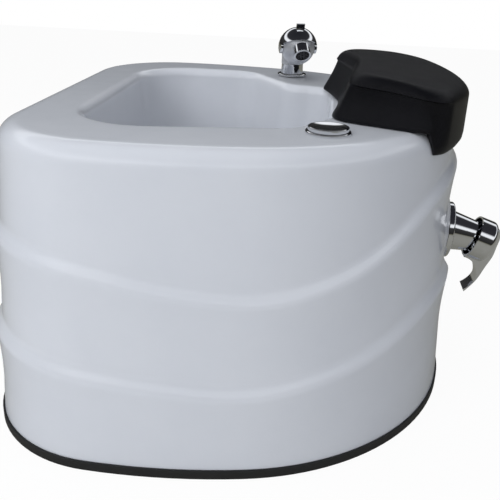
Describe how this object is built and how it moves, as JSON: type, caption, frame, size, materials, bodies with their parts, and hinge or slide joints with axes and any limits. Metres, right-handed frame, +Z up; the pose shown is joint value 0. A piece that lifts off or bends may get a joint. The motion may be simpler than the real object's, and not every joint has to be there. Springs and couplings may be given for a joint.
{
  "type": "pedicure foot bath",
  "caption": "Free-standing white pedicure basin with a padded footrest, swivel spout with lever, waste knob with pop-up plug and a single-lever mixer on its end wall.",
  "frame": {"origin": "centre of the skirt's length and width, on the floor", "axes": "+Z up, +X towards the footrest and mixer end, -Y towards the side with the waste knob"},
  "size_m": [0.6207, 0.619, 0.4396],
  "materials": {
    "tub_gelcoat": "gloss white gelcoat over glass-fibre laminate",
    "trim_rubber": "matt black edge trim",
    "plywood": "raw plywood",
    "timber": "raw timber",
    "footrest_plate": "moulded black",
    "footrest_skin": "black satin integral-skin foam with a fine leather grain",
    "steel": "zinc plated",
    "gasket_rubber": "black rubber",
    "brass": "raw brass",
    "waste_plastic": "light grey moulding",
    "cable_sleeve": "black cable sleeve",
    "chrome": "polished chrome plate",
    "cartridge_plastic": "off-white moulding",
    "braided_hose": "stainless braid",
    "aerator_plastic": "dark grey moulding"
  },
  "bodies": {
    "tub": {"outer_shell": "tub_gelcoat", "basin": "tub_gelcoat", "base_trim": "trim_rubber", "base_board": "plywood", "basin_bearers": "timber", "footrest_base": "footrest_plate", "footrest_pad": "footrest_skin", "footrest_studs": "steel", "footrest_nuts": "steel", "drain_flange": "chrome", "drain_gasket": "gasket_rubber", "drain_nut": "brass", "waste_body": "waste_plastic", "tailpiece": "waste_plastic", "control_escutcheon": "chrome", "control_housing": "waste_plastic", "control_locknut": "brass", "bowden_cable": "cable_sleeve", "spout_gasket": "gasket_rubber", "spout_flange": "chrome", "spout_neck": "chrome", "spout_seal": "gasket_rubber", "spout_washer": "steel", "spout_locknut": "brass", "mixer_gasket": "gasket_rubber", "mixer_escutcheon": "chrome", "mixer_body": "chrome", "mixer_washer": "steel", "mixer_backnut": "brass", "mixer_inlets": "brass", "mixer_outlet": "brass", "mixer_cartridge": "cartridge_plastic", "cartridge_ring": "brass", "supply_hose": "braided_hose", "hose_nuts": "brass"},
    "plug": {"plug": "chrome", "plug_seal": "gasket_rubber", "plug_stem": "steel"},
    "waste_knob": {"control_knob": "chrome", "control_spindle": "brass"},
    "spout": {"spout_head": "chrome", "nozzle_collar": "chrome", "aerator": "aerator_plastic", "spout_pins": "steel"},
    "spout_lever": {"spout_lever": "chrome"},
    "mixer_stem": {"mixer_stem": "brass"},
    "mixer_lever": {"mixer_lever": "chrome", "lever_pin": "steel"}
  },
  "joints": [
    {"name": "waste_knob_turn", "type": "hinge", "parent": "tub", "child": "waste_knob", "pos_m": [0.102, -0.1725, 0.36], "axis": [0, 0, -1], "range_deg": [0, 90]},
    {"name": "plug_lift", "type": "slide", "parent": "tub", "child": "plug", "axis": [0, 0, 1], "range_m": [0, 0.009]},
    {"name": "spout_swivel", "type": "hinge", "parent": "tub", "child": "spout", "pos_m": [0.042, 0.1905, 0.36], "axis": [0, 0, 1], "range_deg": [-50, 50]},
    {"name": "spout_lever_tilt", "type": "hinge", "parent": "spout", "child": "spout_lever", "pos_m": [0.04952, 0.16666, 0.4053], "axis": [0.9537, 0.3007, 0], "range_deg": [-22, 0]},
    {"name": "mixer_turn", "type": "hinge", "parent": "tub", "child": "mixer_stem", "pos_m": [0.30559, 0, 0.1927], "axis": [0.9455, 0, -0.3256], "range_deg": [-45, 45]},
    {"name": "mixer_lift", "type": "hinge", "parent": "mixer_stem", "child": "mixer_lever", "pos_m": [0.31126, 0, 0.19075], "axis": [0, -1, 0], "range_deg": [0, 18]}
  ],
  "couplings": [
    {"joint": "plug_lift", "follows": "waste_knob_turn", "m_per_rad": 0.0057296}
  ]
}
